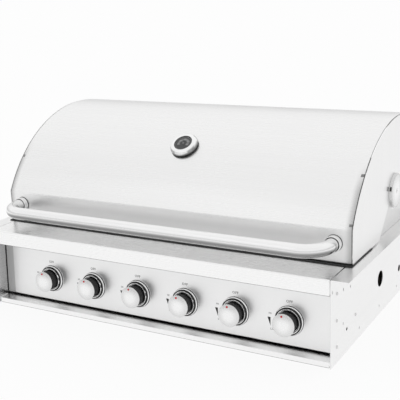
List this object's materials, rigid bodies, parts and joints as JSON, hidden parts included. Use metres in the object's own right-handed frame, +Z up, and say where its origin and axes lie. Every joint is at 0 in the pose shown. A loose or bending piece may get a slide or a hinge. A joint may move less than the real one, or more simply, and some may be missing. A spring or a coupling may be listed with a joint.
{
  "type": "built-in gas grill",
  "caption": "Built-in gas grill: steel box hung in a counter by its flanges, hinged roll lid with tube handle, knob row, burners, grates and slide-out drip tray.",
  "frame": {"origin": "on the surface that the box stands on, under the middle of the overall outline", "axes": "+X to the right and -Y to the front for someone who stands at the knobs, +Z up"},
  "size_m": [1.03, 0.575, 0.4869],
  "materials": {
    "satin_steel": "satin",
    "bright_steel": "polished",
    "dull_steel": "matt",
    "chrome": "polished",
    "brass": "machined",
    "knob_metal": "satin",
    "black_plastic": "semi-gloss"
  },
  "bodies": {
    "cabinet": {"side_panel_left": "satin_steel", "side_panel_right": "satin_steel", "rear_panel": "satin_steel", "top_ledge": "satin_steel", "firebox": "dull_steel", "rear_cowl": "satin_steel", "control_panel": "bright_steel", "gas_manifold": "dull_steel", "gas_inlet": "dull_steel", "tray_runner_left": "dull_steel", "tray_runner_right": "dull_steel", "knob_bezel_1": "chrome", "knob_bezel_2": "chrome", "knob_bezel_3": "chrome", "knob_bezel_4": "chrome", "knob_bezel_5": "chrome", "knob_bezel_6": "chrome", "valve_body_1": "brass", "valve_body_2": "brass", "valve_body_3": "brass", "valve_body_4": "brass", "valve_body_5": "brass", "valve_body_6": "brass", "burner_1": "dull_steel", "burner_2": "dull_steel", "burner_3": "dull_steel", "burner_4": "dull_steel", "burner_5": "dull_steel", "burner_6": "dull_steel"},
    "lid": {"lid_skin": "satin_steel", "lid_liner": "dull_steel", "lid_cap_left": "satin_steel", "lid_cap_right": "satin_steel", "hinge_pin_left": "satin_steel", "hinge_pin_right": "satin_steel", "handle_collar_left": "chrome", "handle_collar_right": "chrome", "handle_tube": "bright_steel", "thermometer_housing": "chrome", "thermometer_dial": "black_plastic"},
    "tray": {"drip_tray": "satin_steel"},
    "rack": {"warming_rack": "dull_steel"},
    "grate_1": {"cooking_grate_1": "dull_steel"},
    "tamer_1": {"flame_tamer_1": "dull_steel"},
    "grate_2": {"cooking_grate_2": "dull_steel"},
    "tamer_2": {"flame_tamer_2": "dull_steel"},
    "grate_3": {"cooking_grate_3": "dull_steel"},
    "tamer_3": {"flame_tamer_3": "dull_steel"},
    "stem_1": {"valve_stem_1": "brass"},
    "knob_1": {"knob_1": "knob_metal"},
    "stem_2": {"valve_stem_2": "brass"},
    "knob_2": {"knob_2": "knob_metal"},
    "stem_3": {"valve_stem_3": "brass"},
    "knob_3": {"knob_3": "knob_metal"},
    "stem_4": {"valve_stem_4": "brass"},
    "knob_4": {"knob_4": "knob_metal"},
    "stem_5": {"valve_stem_5": "brass"},
    "knob_5": {"knob_5": "knob_metal"},
    "stem_6": {"valve_stem_6": "brass"},
    "knob_6": {"knob_6": "knob_metal"}
  },
  "joints": [
    {"name": "lid_hinge", "type": "hinge", "parent": "cabinet", "child": "lid", "pos_m": [0, 0.1085, 0.305], "axis": [-1, 0, 0], "range_deg": [0, 80]},
    {"name": "tray_pull", "type": "slide", "parent": "cabinet", "child": "tray", "axis": [0, -1, 0], "range_m": [0, 0.36]},
    {"name": "rack_lift", "type": "slide", "parent": "cabinet", "child": "rack", "axis": [0, 0, 1], "range_m": [0, 0.05]},
    {"name": "grate_lift_1", "type": "slide", "parent": "cabinet", "child": "grate_1", "axis": [0, 0, 1], "range_m": [0, 0.05]},
    {"name": "tamer_lift_1", "type": "slide", "parent": "cabinet", "child": "tamer_1", "axis": [0, 0, 1], "range_m": [0, 0.035]},
    {"name": "grate_lift_2", "type": "slide", "parent": "cabinet", "child": "grate_2", "axis": [0, 0, 1], "range_m": [0, 0.05]},
    {"name": "tamer_lift_2", "type": "slide", "parent": "cabinet", "child": "tamer_2", "axis": [0, 0, 1], "range_m": [0, 0.035]},
    {"name": "grate_lift_3", "type": "slide", "parent": "cabinet", "child": "grate_3", "axis": [0, 0, 1], "range_m": [0, 0.05]},
    {"name": "tamer_lift_3", "type": "slide", "parent": "cabinet", "child": "tamer_3", "axis": [0, 0, 1], "range_m": [0, 0.035]},
    {"name": "knob_push_1", "type": "slide", "parent": "cabinet", "child": "stem_1", "axis": [0, 0.9986, -0.0523], "range_m": [0, 0.0025], "stiffness_N_per_m": 1500, "springref_m": -0.003},
    {"name": "knob_turn_1", "type": "hinge", "parent": "stem_1", "child": "knob_1", "pos_m": [-0.31625, -0.24608, 0.07752], "axis": [0, -0.9986, 0.0523], "range_deg": [0, 140]},
    {"name": "knob_push_2", "type": "slide", "parent": "cabinet", "child": "stem_2", "axis": [0, 0.9986, -0.0523], "range_m": [0, 0.0025], "stiffness_N_per_m": 1500, "springref_m": -0.003},
    {"name": "knob_turn_2", "type": "hinge", "parent": "stem_2", "child": "knob_2", "pos_m": [-0.18075, -0.24608, 0.07752], "axis": [0, -0.9986, 0.0523], "range_deg": [0, 140]},
    {"name": "knob_push_3", "type": "slide", "parent": "cabinet", "child": "stem_3", "axis": [0, 0.9986, -0.0523], "range_m": [0, 0.0025], "stiffness_N_per_m": 1500, "springref_m": -0.003},
    {"name": "knob_turn_3", "type": "hinge", "parent": "stem_3", "child": "knob_3", "pos_m": [-0.04525, -0.24608, 0.07752], "axis": [0, -0.9986, 0.0523], "range_deg": [0, 140]},
    {"name": "knob_push_4", "type": "slide", "parent": "cabinet", "child": "stem_4", "axis": [0, 0.9986, -0.0523], "range_m": [0, 0.0025], "stiffness_N_per_m": 1500, "springref_m": -0.003},
    {"name": "knob_turn_4", "type": "hinge", "parent": "stem_4", "child": "knob_4", "pos_m": [0.09025, -0.24608, 0.07752], "axis": [0, -0.9986, 0.0523], "range_deg": [0, 140]},
    {"name": "knob_push_5", "type": "slide", "parent": "cabinet", "child": "stem_5", "axis": [0, 0.9986, -0.0523], "range_m": [0, 0.0025], "stiffness_N_per_m": 1500, "springref_m": -0.003},
    {"name": "knob_turn_5", "type": "hinge", "parent": "stem_5", "child": "knob_5", "pos_m": [0.22575, -0.24608, 0.07752], "axis": [0, -0.9986, 0.0523], "range_deg": [0, 140]},
    {"name": "knob_push_6", "type": "slide", "parent": "cabinet", "child": "stem_6", "axis": [0, 0.9986, -0.0523], "range_m": [0, 0.0025], "stiffness_N_per_m": 1500, "springref_m": -0.003},
    {"name": "knob_turn_6", "type": "hinge", "parent": "stem_6", "child": "knob_6", "pos_m": [0.36125, -0.24608, 0.07752], "axis": [0, -0.9986, 0.0523], "range_deg": [0, 140]}
  ]
}
